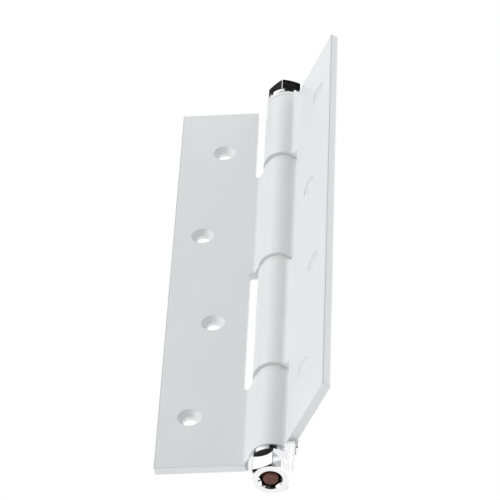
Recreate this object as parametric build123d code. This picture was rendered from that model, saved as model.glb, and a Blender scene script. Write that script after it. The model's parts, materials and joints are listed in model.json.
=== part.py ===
from build123d import *
import math
import os

os.makedirs("parts", exist_ok=True)

# ---------------------------------------------------------------------------
# Four-knuckle spring hinge. Millimetres.
# Frame of the part: origin on the back face of the frame leaf, at the centre
# of its screw pattern. +X runs from the frame leaf towards the pin, +Y out of
# the frame leaf's back face, +Z up along the pin.
# Everything is first drawn about the pin axis (x = y = 0) and moved at the end.
# ---------------------------------------------------------------------------

# leaves
LEAF_H = 180.0            # height of both leaves
LEAF_W = 36.0             # pin axis to a leaf's outer edge
LEAF_T = 3.0              # leaf thickness
LEAF_SET = 0.5            # pin axis to a leaf's front face: 1 mm gap when shut
NOTCH_U = 9.75            # pin axis to a notch's bottom edge
SPLIT_U = 7.5             # inside this distance the knuckle ends are cut, outside it the tongues
NOTCH_R = 1.0             # corners of the notches
NOTCH_FOOT_R = 0.6        # corner between a tongue's upper end and its knuckle
TONGUE_TOP = 0.95         # a tongue's upper end below its knuckle's
TONGUE_BOT = 0.7          # a tongue's lower end below its knuckle's
EDGE_FRONT_R = 0.25       # long outer edge, front
EDGE_BACK_R = 0.9         # long outer edge, back
EDGE_R = 0.4              # rounded edges of the sawn ends
OPEN_DEG = 118.6          # opening angle at rest

# knuckles
BARREL_R = 7.0
BORE_R = 5.0
BLEND_FRONT_R = 2.2       # concave blend, leaf front to barrel
BLEND_BACK_R = 2.0        # concave blend, leaf back to barrel
K1 = (57.0, 90.0)         # door leaf, upper
K2 = (2.8, 53.8)          # frame leaf, upper
K3 = (-51.4, -0.4)        # door leaf, lower
K4 = (-89.0, -54.6)       # frame leaf, lower
SPOT_R = 8.2              # spot face around the lowest knuckle's end

# countersunk screw holes, zigzag in two columns
HOLE_U_IN = 20.75
HOLE_U_OUT = 26.15
HOLE_Z_FAR = 67.5
HOLE_Z_NEAR = 22.5
HOLE_R = 2.2
CSK_R = 3.8               # countersink, 90 degrees
HOLE_RIM = 0.15           # straight land above the countersink

# plain bushes in the three gaps between knuckles
BUSH_FLANGE_R = 5.9
BUSH_BORE_R = 4.45
BUSH_SPIGOT = 6.0
RUN = 0.05                # radial running clearance
AX_RUN = 0.10             # end float between a flange and the turning knuckle

# spring and spindle
WIRE_R = 0.7
COIL_R = 3.4
COIL_TURNS = 36
COIL_Z = (-77.5, 78.5)
GROOVE_DEPTH = 4.0        # ring grooves in the sleeves' inner ends take the end coils
SPINDLE_R = 2.4
SPINDLE_Z = (-97.4, 88.5)

# end fittings: collar with a shank in the bore, threaded stub, lock nut
SHANK_TOP = 77.0          # inner end of the upper shank
SHANK_BOT = -79.0         # inner end of the lower shank
COLLAR_R = 7.0
COLLAR_T = 0.8            # lower collar
COLLAR_GAP = 0.35         # slit between the lowest knuckle and the lower collar
TOP_COLLAR_T = 1.75       # upper collar
STUB_R = 4.95
TOP_END = 99.9
BOT_END = -97.7
RING_T = 0.7              # plate of the ear
NUT_AF = 11.5
NUT_H = 6.5
NUT_FACE_R = 5.62         # face circle left by the nut's end chamfer
NUT_CH = 0.55             # height of that chamfer at the corners
NUT_EDGE_R = 0.3          # rounding along the six corners
SOCKET_AF = 6.2
SOCKET_DEPTH = 5.5
SOCKET_MOUTH_R = 3.75     # rim of the countersink at a socket's mouth
TOP_NUT_TURN = -10.0      # corner, degrees from -Y towards +X
BOT_NUT_TURN = 9.0
SOCKET_TURN = -11.5

# ear on the lower ring
EAR_X = (4.6, 9.1)
EAR_Y = (-9.2, -4.4)
EAR_SLANT = 0.105         # the ear's front end runs this much off square
EAR_TIP = (8.15, -5.9)    # the bent-down flap narrows to this point
FLAP_T = 1.2
FLAP_Z = 3.0
FLAP_EDGE_R = 0.25        # upright edges at the flap's front end
FLAP_CH = 0.2             # chamfer of the flap's two long lower edges
EAR_DRAFT = 0.25          # the ear's front end leans back this much towards its lower face

ORIGIN_U = (HOLE_U_IN + HOLE_U_OUT) / 2
PIN = Vector(ORIGIN_U, -(LEAF_SET + LEAF_T), 0)


def cyl(r, z0, z1, x=0.0, y=0.0):
    return Pos(x, y, z0) * Cylinder(r, z1 - z0, align=(Align.CENTER, Align.CENTER, Align.MIN))


def block(x0, x1, y0, y1, z0, z1):
    return Pos(x0, y0, z0) * Box(x1 - x0, y1 - y0, z1 - z0, align=(Align.MIN,) * 3)


def hexagon(af, z0, z1, corner_deg):
    # corner_deg is measured from -Y towards +X
    sk = Rot(0, 0, corner_deg - 90) * RegularPolygon(radius=af / math.sqrt(3), side_count=6)
    return extrude(Plane.XY.offset(z0) * sk, amount=z1 - z0)


def socket(z_end, up):
    # hexagonal socket whose mouth is countersunk at 45 degrees. up: it opens
    # upwards, at z_end; else downwards.
    r0 = SOCKET_AF / 2
    h = SOCKET_MOUTH_R - r0
    if up:
        mouth = Pos(0, 0, z_end - h / 2) * Cone(r0, SOCKET_MOUTH_R, h)
        return hexagon(SOCKET_AF, z_end - SOCKET_DEPTH, z_end + 1, SOCKET_TURN) + mouth
    mouth = Pos(0, 0, z_end + h / 2) * Cone(SOCKET_MOUTH_R, r0, h)
    return hexagon(SOCKET_AF, z_end - 1, z_end + SOCKET_DEPTH, SOCKET_TURN) + mouth


def one(shape):
    solids = shape.solids()
    assert len(solids) == 1, len(solids)
    return solids[0]


# ------------------------------------------------------------------ leaves
def nearest(sk, x, y):
    return min(sk.vertices(), key=lambda v: (v.X - x) ** 2 + (v.Y - y) ** 2)


def leaf_profile():
    # cross-section of the whole leaf: barrel and plate, the concave corners
    # between them blended and the plate's long outer edges rounded
    y0, y1 = LEAF_SET, LEAF_SET + LEAF_T
    sk = Circle(BARREL_R) + Pos(-LEAF_W / 2, (y0 + y1) / 2) * Rectangle(LEAF_W, LEAF_T)
    xf = -math.sqrt(BARREL_R ** 2 - y0 ** 2)
    xb = -math.sqrt(BARREL_R ** 2 - y1 ** 2)
    sk = fillet([nearest(sk, xf, y0)], BLEND_FRONT_R)
    sk = fillet([nearest(sk, xb, y1)], BLEND_BACK_R)
    sk = fillet([nearest(sk, -LEAF_W, y0)], EDGE_FRONT_R)
    return fillet([nearest(sk, -LEAF_W, y1)], EDGE_BACK_R)


def gaps(spans):
    # what the spans leave free between the two ends of the leaf
    edge = LEAF_H / 2 + 1
    out, z = [], -edge
    for a, b in sorted(spans):
        if a > -LEAF_H / 2 + 0.01:
            out.append((z, a))
        z = b
    if z < LEAF_H / 2 - 0.01:
        out.append((z, edge))
    return out


def leaf(knuckles, tongues, foot_at, holes):
    # a leaf that runs along -X with its front face towards -Y. foot_at lists
    # the tongue ends that lie short of their knuckle's end.
    h = LEAF_H / 2
    y0, y1 = LEAF_SET, LEAF_SET + LEAF_T
    body = extrude(Plane.XY.offset(-h) * leaf_profile(), amount=LEAF_H)
    # sawn ends: round the plate's edges there
    ends = [e for e in body.edges().filter_by(GeomType.LINE)
            if abs(abs(e.center().Z) - h) < 1e-3 and abs(e.center().X) > NOTCH_U
            and (abs(e.center().Y - y0) < 1e-3 or abs(e.center().Y - y1) < 1e-3)]
    body = fillet(ends, EDGE_R)
    # ends of the knuckles
    for a, b in gaps(knuckles):
        body = body - block(-SPLIT_U, BARREL_R + 1, -20, 20, a, b)
    # ends of the tongues, with rounded corners
    for a, b in gaps(tongues):
        sk = Pos(-(NOTCH_U + SPLIT_U) / 2, (a + b) / 2) * Rectangle(NOTCH_U - SPLIT_U, b - a)
        for z in (a, b):
            if abs(z) < h:
                sk = fillet([nearest(sk, -NOTCH_U, z)], NOTCH_R)
                if any(abs(z - f) < 1e-3 for f in foot_at):
                    sk = fillet([nearest(sk, -SPLIT_U, z)], NOTCH_FOOT_R)
        body = body - extrude(Plane.XZ.offset(-20) * sk, amount=40)
    for a, b in knuckles:
        body = body - cyl(BORE_R, a - 1.5, b + 1.5)
    # countersunk holes
    for u, z in holes:
        hole = Pos(-u, 0, z) * Rot(90, 0, 0) * Cylinder(HOLE_R, 40)
        cone_h = CSK_R - HOLE_R
        cone = Pos(-u, y0 + HOLE_RIM + cone_h / 2, z) * Rot(90, 0, 0) * Cone(HOLE_R, CSK_R, cone_h)
        land = Pos(-u, y0, z) * Rot(90, 0, 0) * Cylinder(CSK_R, 2 * HOLE_RIM)
        body = body - hole - cone - land
    return body


frame_holes = [(HOLE_U_IN, HOLE_Z_FAR), (HOLE_U_OUT, HOLE_Z_NEAR),
               (HOLE_U_IN, -HOLE_Z_NEAR), (HOLE_U_OUT, -HOLE_Z_FAR)]
frame_body = leaf(
    [K2, (-LEAF_H / 2, K4[1])],
    [(K2[0] - TONGUE_BOT, K2[1] - TONGUE_TOP), (-LEAF_H / 2, K4[1] - TONGUE_TOP)],
    [K2[1] - TONGUE_TOP, K4[1] - TONGUE_TOP],
    frame_holes)
# spot face under the lowest knuckle
frame_leaf = one(frame_body - cyl(SPOT_R, -LEAF_H / 2 - 1, K4[0]))

# the door leaf is drawn as a left-hand leaf too, turned end for end about X
door_holes = [(HOLE_U_IN, HOLE_Z_FAR), (HOLE_U_OUT, HOLE_Z_NEAR),
              (HOLE_U_IN, -HOLE_Z_NEAR), (HOLE_U_OUT, -HOLE_Z_FAR)]
door_body = leaf(
    [(-K1[1], -K1[0]), (-K3[1], -K3[0])],
    [(-K1[1], -K1[0] + TONGUE_BOT), (-K3[1] + TONGUE_TOP, -K3[0] + TONGUE_BOT)],
    [-K3[1] + TONGUE_TOP],
    door_holes)
door_leaf = Rot(0, 0, OPEN_DEG) * (Rot(180, 0, 0) * one(door_body))


# ------------------------------------------------------------------ bushes
def bush(z_lo, z_hi, turning):
    # z_lo..z_hi is the gap. turning is "up" or "down": the side of the knuckle
    # that turns on the bush. The other spigot is tight in its bore.
    lo = z_lo + (AX_RUN if turning == "down" else 0.0)
    hi = z_hi - (AX_RUN if turning == "up" else 0.0)
    up_r = BORE_R - (RUN if turning == "up" else 0.0)
    dn_r = BORE_R - (RUN if turning == "down" else 0.0)
    b = cyl(BUSH_FLANGE_R, lo, hi) + cyl(up_r, hi, hi + BUSH_SPIGOT) + cyl(dn_r, lo - BUSH_SPIGOT, lo)
    b = b - cyl(BUSH_BORE_R, lo - 20, hi + 20)
    es = [e for e in b.edges().filter_by(GeomType.CIRCLE)
          if abs(e.radius - BUSH_FLANGE_R) < 1e-3]
    b = fillet(es, 0.3)
    return one(b)


upper_bush = bush(K2[1], K1[0], "up")
middle_bush = bush(K3[1], K2[0], "down")
lower_bush = bush(K4[1], K3[0], "up")

# ------------------------------------------------------- spring and spindle
pitch = (COIL_Z[1] - COIL_Z[0]) / COIL_TURNS
helix = Pos(0, 0, COIL_Z[0]) * Helix(pitch=pitch, height=COIL_Z[1] - COIL_Z[0], radius=COIL_R)
wire_section = Plane(origin=helix @ 0, z_dir=helix % 0) * Circle(WIRE_R)
coil = sweep(wire_section, path=helix, is_frenet=True)
torsion_spring = one(coil)

spindle = cyl(SPINDLE_R, SPINDLE_Z[0], SPINDLE_Z[1])
spindle = one(chamfer(spindle.edges().filter_by(GeomType.CIRCLE), 0.35))


# ------------------------------------------------------------- end fittings
def nut(z0, z1, corner_deg, outer_up):
    # hexagon lock nut, chamfered at its outer face only
    body = hexagon(NUT_AF, z0, z1, corner_deg)
    body = fillet(body.edges().filter_by(Axis.Z), NUT_EDGE_R)
    r_c = NUT_AF / math.sqrt(3)
    slope = (r_c - NUT_FACE_R) / NUT_CH
    length = z1 - z0
    wide = NUT_FACE_R + slope * length
    if outer_up:
        cone = Pos(0, 0, (z0 + z1) / 2) * Cone(wide, NUT_FACE_R, length)
    else:
        cone = Pos(0, 0, (z0 + z1) / 2) * Cone(NUT_FACE_R, wide, length)
    return one((body & cone) - cyl(STUB_R, z0 - 1, z1 + 1))


# upper end: sleeve held in the door leaf's top knuckle
tc0 = K1[1]
tc1 = tc0 + TOP_COLLAR_T
top_nut_z = (TOP_END - NUT_H, TOP_END)
top_sleeve = cyl(BORE_R, SHANK_TOP, tc0) + cyl(COLLAR_R, tc0, tc1) + cyl(STUB_R, tc1, TOP_END)
top_sleeve = top_sleeve - cyl(SPINDLE_R, SHANK_TOP - 1, SPINDLE_Z[1])
top_sleeve = top_sleeve - (cyl(COIL_R + WIRE_R + 0.3, SHANK_TOP - 1, SHANK_TOP + GROOVE_DEPTH)
                           - cyl(COIL_R - WIRE_R - 0.1, SHANK_TOP - 1, SHANK_TOP + GROOVE_DEPTH))
top_sleeve = top_sleeve - socket(TOP_END, True)
top_sleeve = one(chamfer([e for e in top_sleeve.edges().filter_by(GeomType.CIRCLE)
                          if abs(e.radius - COLLAR_R) < 1e-3], 0.1))
top_ring = cyl(COLLAR_R, tc1, top_nut_z[0]) - cyl(STUB_R, tc1 - 1, top_nut_z[0] + 1)
top_ring = one(chamfer([e for e in top_ring.edges().filter_by(GeomType.CIRCLE)
                        if abs(e.radius - COLLAR_R) < 1e-3], 0.2))
top_lock_nut = nut(top_nut_z[0], top_nut_z[1], TOP_NUT_TURN, True)

# lower end: sleeve that turns in the frame leaf's bottom knuckle
bc1 = K4[0] - COLLAR_GAP
bc0 = bc1 - COLLAR_T
bot_nut_z = (BOT_END, BOT_END + NUT_H)
adjuster_sleeve = cyl(BORE_R - RUN, bc1, SHANK_BOT) + cyl(COLLAR_R, bc0, bc1) + cyl(STUB_R, BOT_END, bc0)
adjuster_sleeve = adjuster_sleeve - cyl(SPINDLE_R + RUN, BOT_END - 1, SHANK_BOT + 1)
# the spring's last coil stands just clear of the sleeve's inner end
adjuster_sleeve = adjuster_sleeve - socket(BOT_END, False)
adjuster_sleeve = one(chamfer([e for e in adjuster_sleeve.edges().filter_by(GeomType.CIRCLE)
                               if abs(e.radius - COLLAR_R) < 1e-3], 0.2))

# ring between collar and nut, with a tapered ear whose outer edge is bent down
ring = cyl(COLLAR_R, bot_nut_z[1], bc0)


def ear_front(x):
    return EAR_Y[0] + EAR_SLANT * (EAR_X[1] - x)


ear_sk = Polyline([(0, ear_front(0)), (EAR_X[1], EAR_Y[0]), EAR_TIP,
                   (EAR_TIP[0] - 0.35, EAR_Y[1]), (0, EAR_Y[1]), (0, ear_front(0))])
ear = extrude(Plane.XY.offset(bot_nut_z[1]) * make_face(ear_sk), amount=RING_T)
ear = ear & block(EAR_X[0], EAR_X[1] + 1, EAR_Y[0] - 1, 0, bot_nut_z[1] - 1, bc0)
flap_x = EAR_X[1] - FLAP_T
lean_x = EAR_X[0] - 1
along = Vector(1, -EAR_SLANT, 0).normalized()
lean_plane = Plane(origin=(lean_x, ear_front(lean_x), bot_nut_z[1]), x_dir=(-along.Y, along.X, 0), z_dir=along)
lean_sk = Polyline([(0, RING_T), (EAR_DRAFT, 0), (EAR_DRAFT, -1), (-2, -1), (-2, RING_T), (0, RING_T)])
ear = ear - extrude(lean_plane * make_face(lean_sk), amount=(flap_x - lean_x) / along.X)
flap_sk = Polyline([(flap_x, ear_front(flap_x)), (EAR_X[1], EAR_Y[0]), EAR_TIP,
                    (EAR_TIP[0] - 0.45, EAR_TIP[1]), (flap_x, ear_front(flap_x))])
flap = extrude(Plane.XY.offset(bot_nut_z[1] + RING_T - FLAP_Z) * make_face(flap_sk), amount=FLAP_Z)
flap = fillet([e for e in flap.edges().filter_by(Axis.Z)
               if e.center().Y < ear_front(flap_x) + 1e-3], FLAP_EDGE_R)
flap_low = bot_nut_z[1] + RING_T - FLAP_Z
flap = chamfer([e for e in flap.edges().filter_by(GeomType.LINE)
                if abs(e.center().Z - flap_low) < 1e-3 and e.length > 2.0], FLAP_CH)
ear_ring = ring + ear + flap
ear_ring = ear_ring - cyl(STUB_R, BOT_END, bc0 + 1)
ear_ring = one(ear_ring)
bottom_lock_nut = nut(bot_nut_z[0], bot_nut_z[1], BOT_NUT_TURN, False)

nodes = {
    "frame_leaf": frame_leaf,
    "door_leaf": door_leaf,
    "upper_bush": upper_bush,
    "middle_bush": middle_bush,
    "lower_bush": lower_bush,
    "torsion_spring": torsion_spring,
    "spindle": spindle,
    "top_sleeve": top_sleeve,
    "top_ring": top_ring,
    "top_lock_nut": top_lock_nut,
    "adjuster_sleeve": adjuster_sleeve,
    "eared_ring": ear_ring,
    "bottom_lock_nut": bottom_lock_nut,
}

for name, shape in nodes.items():
    export_step(Location(PIN) * shape, f"parts/{name}.step")
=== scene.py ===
import bpy
import json
import math
from mathutils import Matrix, Vector

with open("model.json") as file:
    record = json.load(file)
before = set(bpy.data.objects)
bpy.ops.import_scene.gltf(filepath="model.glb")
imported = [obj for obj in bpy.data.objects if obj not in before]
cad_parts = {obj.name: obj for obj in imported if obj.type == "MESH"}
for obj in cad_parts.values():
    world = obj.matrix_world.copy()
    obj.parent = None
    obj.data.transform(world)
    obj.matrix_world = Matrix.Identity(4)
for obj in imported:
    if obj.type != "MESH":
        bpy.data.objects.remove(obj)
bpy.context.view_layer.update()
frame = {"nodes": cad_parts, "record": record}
sc = bpy.context.scene
N = frame["nodes"]

# ---------------------------------------------------------------- camera
# Fitted on the leaves' corners and the knuckles' ends. Metres, row frame.
PIN = Vector((0.02345, -0.0035, 0.0))
CAM_AT = PIN + Vector((0.06992707, -0.63616822, -0.77920191))
RIGHT = Vector((0.996030, 0.081948, 0.034772))
DOWN = Vector((-0.042007, 0.777053, -0.628032))
AHEAD = Vector((-0.078485, 0.624078, 0.777410))
FOCAL_PX, IMAGE_PX = 3097.6912, 500.0

cam_data = bpy.data.cameras.new("camera")
cam = bpy.data.objects.new("camera", cam_data)
sc.collection.objects.link(cam)
r, u, b = RIGHT.normalized(), (-DOWN).normalized(), (-AHEAD).normalized()
cam.matrix_world = Matrix(((r.x, u.x, b.x, CAM_AT.x), (r.y, u.y, b.y, CAM_AT.y), (r.z, u.z, b.z, CAM_AT.z), (0, 0, 0, 1)))
cam_data.sensor_width = 36.0
cam_data.lens = FOCAL_PX / IMAGE_PX * 36.0
cam_data.clip_start, cam_data.clip_end = 0.01, 50.0
cam_data.dof.use_dof = False
sc.camera = cam

sc.view_settings.view_transform = "Standard"
sc.view_settings.look = "None"
sc.view_settings.exposure = 0.0
sc.view_settings.gamma = 1.0


# ---------------------------------------------------------------- materials
def new_mat(name):
    m = bpy.data.materials.new(name)
    m.use_nodes = True
    nt = m.node_tree
    nt.nodes.clear()
    out = nt.nodes.new("ShaderNodeOutputMaterial")
    p = nt.nodes.new("ShaderNodeBsdfPrincipled")
    nt.links.new(p.outputs["BSDF"], out.inputs["Surface"])
    return m, nt, p


def noise(nt, scale, detail=3.0, rough=0.5, vector=None, stretch=None):
    tc = nt.nodes.new("ShaderNodeTexCoord")
    n = nt.nodes.new("ShaderNodeTexNoise")
    n.inputs["Scale"].default_value = scale
    n.inputs["Detail"].default_value = detail
    n.inputs["Roughness"].default_value = rough
    src = tc.outputs["Object"]
    if stretch:
        mp = nt.nodes.new("ShaderNodeMapping")
        mp.inputs["Scale"].default_value = stretch
        nt.links.new(src, mp.inputs["Vector"])
        src = mp.outputs["Vector"]
    nt.links.new(src, n.inputs["Vector"])
    return n


def ramp(nt, fac, stops):
    cr = nt.nodes.new("ShaderNodeValToRGB")
    el = cr.color_ramp.elements
    while len(el) < len(stops):
        el.new(0.5)
    for e, (pos, col) in zip(el, stops):
        e.position = pos
        e.color = (*col, 1.0) if len(col) == 3 else col
    nt.links.new(fac, cr.inputs["Fac"])
    return cr


def span(nt, fac, lo, hi):
    mr = nt.nodes.new("ShaderNodeMapRange")
    mr.inputs["To Min"].default_value = lo
    mr.inputs["To Max"].default_value = hi
    nt.links.new(fac, mr.inputs["Value"])
    return mr.outputs["Result"]


def bump(nt, p, height, strength, distance):
    b = nt.nodes.new("ShaderNodeBump")
    b.inputs["Strength"].default_value = strength
    b.inputs["Distance"].default_value = distance
    nt.links.new(height, b.inputs["Height"])
    nt.links.new(b.outputs["Normal"], p.inputs["Normal"])


def near_line(nt, x, y, inner, outer):
    # 1 within `inner` of an upright line through (x, y), 0 beyond `outer`
    tc = nt.nodes.new("ShaderNodeTexCoord")
    flat = nt.nodes.new("ShaderNodeVectorMath")
    flat.operation = "MULTIPLY"
    flat.inputs[1].default_value = (1.0, 1.0, 0.0)
    nt.links.new(tc.outputs["Object"], flat.inputs[0])
    away = nt.nodes.new("ShaderNodeVectorMath")
    away.operation = "DISTANCE"
    away.inputs[1].default_value = (x, y, 0.0)
    nt.links.new(flat.outputs["Vector"], away.inputs[0])
    mr = nt.nodes.new("ShaderNodeMapRange")
    mr.inputs["From Min"].default_value = inner
    mr.inputs["From Max"].default_value = outer
    mr.inputs["To Min"].default_value = 1.0
    mr.inputs["To Max"].default_value = 0.0
    nt.links.new(away.outputs["Value"], mr.inputs["Value"])
    return mr.outputs["Result"]


def coating(name, shade_line_edges):
    # smooth pale coating: faint cloudiness in colour and gloss, fine orange peel,
    # and painted shade: a grey line along each listed sharp upright edge
    m, nt, p = new_mat(name)
    cloud = noise(nt, 55.0, 3.0, 0.55)
    col = ramp(nt, cloud.outputs["Fac"], [(0.3, (0.724, 0.753, 0.760)), (0.7, (0.744, 0.773, 0.780))])
    shade = col.outputs["Color"]
    # painted shade: a grey line mixed into the colour along each listed edge line
    for x, y in shade_line_edges:
        mix = nt.nodes.new("ShaderNodeMix")
        mix.data_type = "RGBA"
        mix.inputs["B"].default_value = (0.53, 0.55, 0.555, 1.0)
        nt.links.new(near_line(nt, x, y, 0.00022, 0.00042), mix.inputs["Factor"])
        nt.links.new(shade, mix.inputs["A"])
        shade = mix.outputs["Result"]
    nt.links.new(shade, p.inputs["Base Color"])
    peel = noise(nt, 900.0, 2.0, 0.5)
    nt.links.new(span(nt, cloud.outputs["Fac"], 0.27, 0.33), p.inputs["Roughness"])
    bump(nt, p, peel.outputs["Fac"], 0.12, 0.0004)
    p.inputs["Metallic"].default_value = 0.0
    p.inputs["IOR"].default_value = 1.5
    p.inputs["Specular IOR Level"].default_value = 0.32
    return m


def chrome():
    m, nt, p = new_mat("chrome_plate")
    cloud = noise(nt, 260.0, 3.0, 0.6)
    col = ramp(nt, cloud.outputs["Fac"], [(0.3, (0.80, 0.80, 0.81)), (0.7, (0.86, 0.86, 0.865))])
    nt.links.new(col.outputs["Color"], p.inputs["Base Color"])
    nt.links.new(span(nt, cloud.outputs["Fac"], 0.04, 0.08), p.inputs["Roughness"])
    fine = noise(nt, 1500.0, 2.0, 0.5)
    bump(nt, p, fine.outputs["Fac"], 0.05, 0.0002)
    p.inputs["Metallic"].default_value = 1.0
    return m


def nylon():
    m, nt, p = new_mat("bush_nylon")
    cloud = noise(nt, 200.0, 3.0, 0.55)
    col = ramp(nt, cloud.outputs["Fac"], [(0.3, (0.72, 0.725, 0.72)), (0.7, (0.75, 0.755, 0.75))])
    nt.links.new(col.outputs["Color"], p.inputs["Base Color"])
    nt.links.new(span(nt, cloud.outputs["Fac"], 0.5, 0.6), p.inputs["Roughness"])
    fine = noise(nt, 1800.0, 2.0, 0.5)
    bump(nt, p, fine.outputs["Fac"], 0.15, 0.0003)
    return m


def spindle_steel():
    m, nt, p = new_mat("spindle_steel")
    cloud = noise(nt, 900.0, 4.0, 0.6)
    col = ramp(nt, cloud.outputs["Fac"], [(0.3, (0.075, 0.022, 0.013)), (0.7, (0.145, 0.055, 0.036))])
    nt.links.new(col.outputs["Color"], p.inputs["Base Color"])
    nt.links.new(span(nt, cloud.outputs["Fac"], 0.45, 0.65), p.inputs["Roughness"])
    bump(nt, p, cloud.outputs["Fac"], 0.2, 0.0003)
    p.inputs["Metallic"].default_value = 0.3
    return m


def spring_wire():
    m, nt, p = new_mat("spring_wire")
    cloud = noise(nt, 400.0, 4.0, 0.6)
    col = ramp(nt, cloud.outputs["Fac"], [(0.3, (0.16, 0.16, 0.165)), (0.7, (0.24, 0.24, 0.245))])
    nt.links.new(col.outputs["Color"], p.inputs["Base Color"])
    nt.links.new(span(nt, cloud.outputs["Fac"], 0.35, 0.5), p.inputs["Roughness"])
    bump(nt, p, cloud.outputs["Fac"], 0.1, 0.0002)
    p.inputs["Metallic"].default_value = 1.0
    return m


# the leaves' front outer edge lines, in the row frame, where the grey line of painted shade goes
OPEN = math.radians(118.6)
EDGE_U, EDGE_T = 0.036, 0.0005
SHADE_LINE_EDGES = [(PIN.x - EDGE_U, PIN.y + EDGE_T),
         (PIN.x - EDGE_U * math.cos(OPEN) + EDGE_T * math.sin(OPEN),
          PIN.y - EDGE_U * math.sin(OPEN) - EDGE_T * math.cos(OPEN))]

MATS = {"leaf_paint": coating("leaf_paint", SHADE_LINE_EDGES), "collar_paint": coating("collar_paint", []), "chrome_plate": chrome(), "bush_nylon": nylon(),
        "spindle_steel": spindle_steel(), "spring_wire": spring_wire()}
SLOT_OF = {s["node"]: s["material_slot"] for s in frame["record"]["subparts"]}
for name, o in N.items():
    o.data.materials.clear()
    o.data.materials.append(MATS[SLOT_OF[name]])


# ---------------------------------------------------------------- stage
def plane(name, size, at, normal, mat):
    me = bpy.data.meshes.new(name)
    h = size / 2
    me.from_pydata([(-h, -h, 0), (h, -h, 0), (h, h, 0), (-h, h, 0)], [], [(0, 1, 2, 3)])
    o = bpy.data.objects.new(name, me)
    o.rotation_mode = "QUATERNION"
    o.rotation_quaternion = Vector(normal).to_track_quat("Z", "Y")
    o.location = at
    o.data.materials.append(mat)
    sc.collection.objects.link(o)
    return o


def floor_mat():
    m, nt, p = new_mat("floor_pale")
    cloud = noise(nt, 3.0, 3.0, 0.5)
    col = ramp(nt, cloud.outputs["Fac"], [(0.3, (0.86, 0.86, 0.86)), (0.7, (0.88, 0.88, 0.88))])
    nt.links.new(col.outputs["Color"], p.inputs["Base Color"])
    p.inputs["Roughness"].default_value = 0.8
    return m


# The camera looks up at the hinge from below, so the floor lies below the camera.
# It takes light from the studio but throws none back on the hinge.
floor = plane("floor", 12.0, (0, 0, -1.6), (0, 0, 1), floor_mat())
floor.visible_diffuse = False
floor.visible_glossy = False
floor.visible_shadow = False

# ---------------------------------------------------------------- light
# A soft studio: broad overlapping light banks all round, with dark gaps between
# them and a few pale glows that only a gloss picks up. Azimuth runs from -Y
# towards +X, in degrees.
BANKS = [  # azimuth, elevation, strength
    (-18, -27, 0.97), (126, -27, 1.95), (90, 27, 1.46), (180, 90, 0.86),
    (126, -58, 2.32), (-54, -32, 1.26), (-126, -32, 0.99), (108, 0, 1.02),
    (-72, 0, 1.86), (-36, 0, 1.74), (-144, 0, 3.02), (54, 32, 2.04),
    (-162, 32, 0.47), (90, 58, 1.91), (-54, 58, 1.42),
]
BANK_POWER = 10.0
DARK = [  # azimuth, elevation, inner and outer radius, share of the light taken away
    (1.0, 51.0, 5.0, 8.0, 0.98), (15.0, 51.0, 5.0, 8.0, 0.975),
    (28.0, 51.0, 5.0, 8.0, 0.97), (39.0, 51.0, 4.0, 8.0, 0.96),
    (-88.0, 51.0, 4.0, 7.0, 0.97), (72.0, 51.0, 8.0, 15.0, 0.63),
    (-95.0, -41.0, 9.0, 15.0, 0.96),
    (129.0, -4.0, 10.0, 16.0, 0.93), (-129.0, 4.0, 10.0, 16.0, 0.93),
    (-20.0, -52.0, 23.0, 29.0, 0.975)]
GLOW = [  # azimuth, elevation, inner and outer radius, strength
    (72.0, -51.0, 12.0, 22.0, 0.85), (-173.0, -51.0, 14.0, 24.0, 0.72),
    (-154.0, 51.0, 14.0, 25.0, 0.5), (168.0, 51.0, 26.0, 40.0, 0.8),
    (176.0, 0.0, 24.0, 38.0, 0.8)]

world = bpy.data.worlds.new("world")
sc.world = world
world.use_nodes = True
wt = world.node_tree
wt.nodes.clear()


def wmath(op, a, b=None, c=None):
    n = wt.nodes.new("ShaderNodeMath")
    n.operation = op
    for i, v in enumerate((a, b, c)):
        if v is None:
            continue
        if isinstance(v, (int, float)):
            n.inputs[i].default_value = v
        else:
            wt.links.new(v, n.inputs[i])
    return n.outputs["Value"]


w_tc = wt.nodes.new("ShaderNodeTexCoord")
w_dir = wt.nodes.new("ShaderNodeVectorMath")
w_dir.operation = "NORMALIZE"
wt.links.new(w_tc.outputs["Generated"], w_dir.inputs[0])


def toward(v):
    n = wt.nodes.new("ShaderNodeVectorMath")
    n.operation = "DOT_PRODUCT"
    wt.links.new(w_dir.outputs["Vector"], n.inputs[0])
    n.inputs[1].default_value = Vector(v).normalized()
    return n.outputs["Value"]


def compass(az, el):
    a, e = math.radians(az), math.radians(el)
    return (math.cos(e) * math.sin(a), -math.cos(e) * math.cos(a), math.sin(e))


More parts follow.
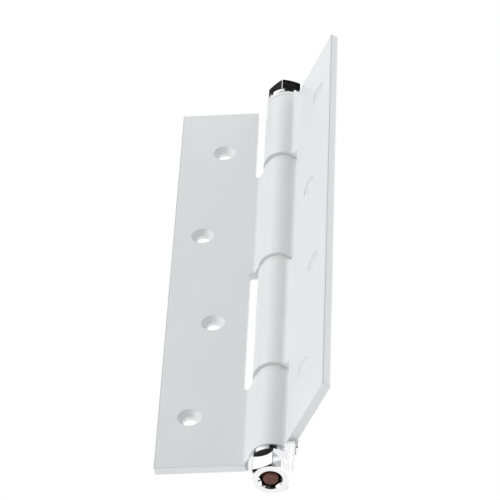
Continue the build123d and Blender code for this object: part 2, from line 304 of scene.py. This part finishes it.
level = None
for az, el, strength in BANKS:
    lobe = wmath("POWER", wmath("MAXIMUM", toward(compass(az, el)), 0.0), BANK_POWER)
    level = wmath("MULTIPLY", lobe, strength) if level is None else wmath("MULTIPLY_ADD", lobe, strength, level)
left = None
for az, el, inner, outer, take in DARK:
    mr = wt.nodes.new("ShaderNodeMapRange")
    mr.interpolation_type = "SMOOTHSTEP"
    mr.inputs["From Min"].default_value = math.cos(math.radians(outer))
    mr.inputs["From Max"].default_value = math.cos(math.radians(inner))
    mr.inputs["To Min"].default_value = 1.0
    mr.inputs["To Max"].default_value = 1.0 - take
    wt.links.new(toward(compass(az, el)), mr.inputs["Value"])
    left = mr.outputs["Result"] if left is None else wmath("MULTIPLY", left, mr.outputs["Result"])

glow = None
for az, el, inner, outer, strength in GLOW:
    mr = wt.nodes.new("ShaderNodeMapRange")
    mr.interpolation_type = "SMOOTHSTEP"
    mr.inputs["From Min"].default_value = math.cos(math.radians(outer))
    mr.inputs["From Max"].default_value = math.cos(math.radians(inner))
    mr.inputs["To Min"].default_value = 0.0
    mr.inputs["To Max"].default_value = strength
    wt.links.new(toward(compass(az, el)), mr.inputs["Value"])
    glow = mr.outputs["Result"] if glow is None else wmath("ADD", glow, mr.outputs["Result"])

w_path = wt.nodes.new("ShaderNodeLightPath")
# only glossy rays see the gaps and the small glows; all others see the plain banks
gloss = w_path.outputs["Is Glossy Ray"]
shine = wmath("MULTIPLY_ADD", level, left, glow)
seen = wmath("MULTIPLY_ADD", gloss, wmath("SUBTRACT", shine, level), level)
w_out = wt.nodes.new("ShaderNodeOutputWorld")
w_mix = wt.nodes.new("ShaderNodeMixShader")
w_cam = wt.nodes.new("ShaderNodeBackground")
w_lit = wt.nodes.new("ShaderNodeBackground")
w_cam.inputs["Color"].default_value = (1, 1, 1, 1)
w_cam.inputs["Strength"].default_value = 1.0
w_lit.inputs["Color"].default_value = (1, 1, 1, 1)
wt.links.new(seen, w_lit.inputs["Strength"])
wt.links.new(w_path.outputs["Is Camera Ray"], w_mix.inputs["Fac"])
wt.links.new(w_lit.outputs["Background"], w_mix.inputs[1])
wt.links.new(w_cam.outputs["Background"], w_mix.inputs[2])
wt.links.new(w_mix.outputs["Shader"], w_out.inputs["Surface"])
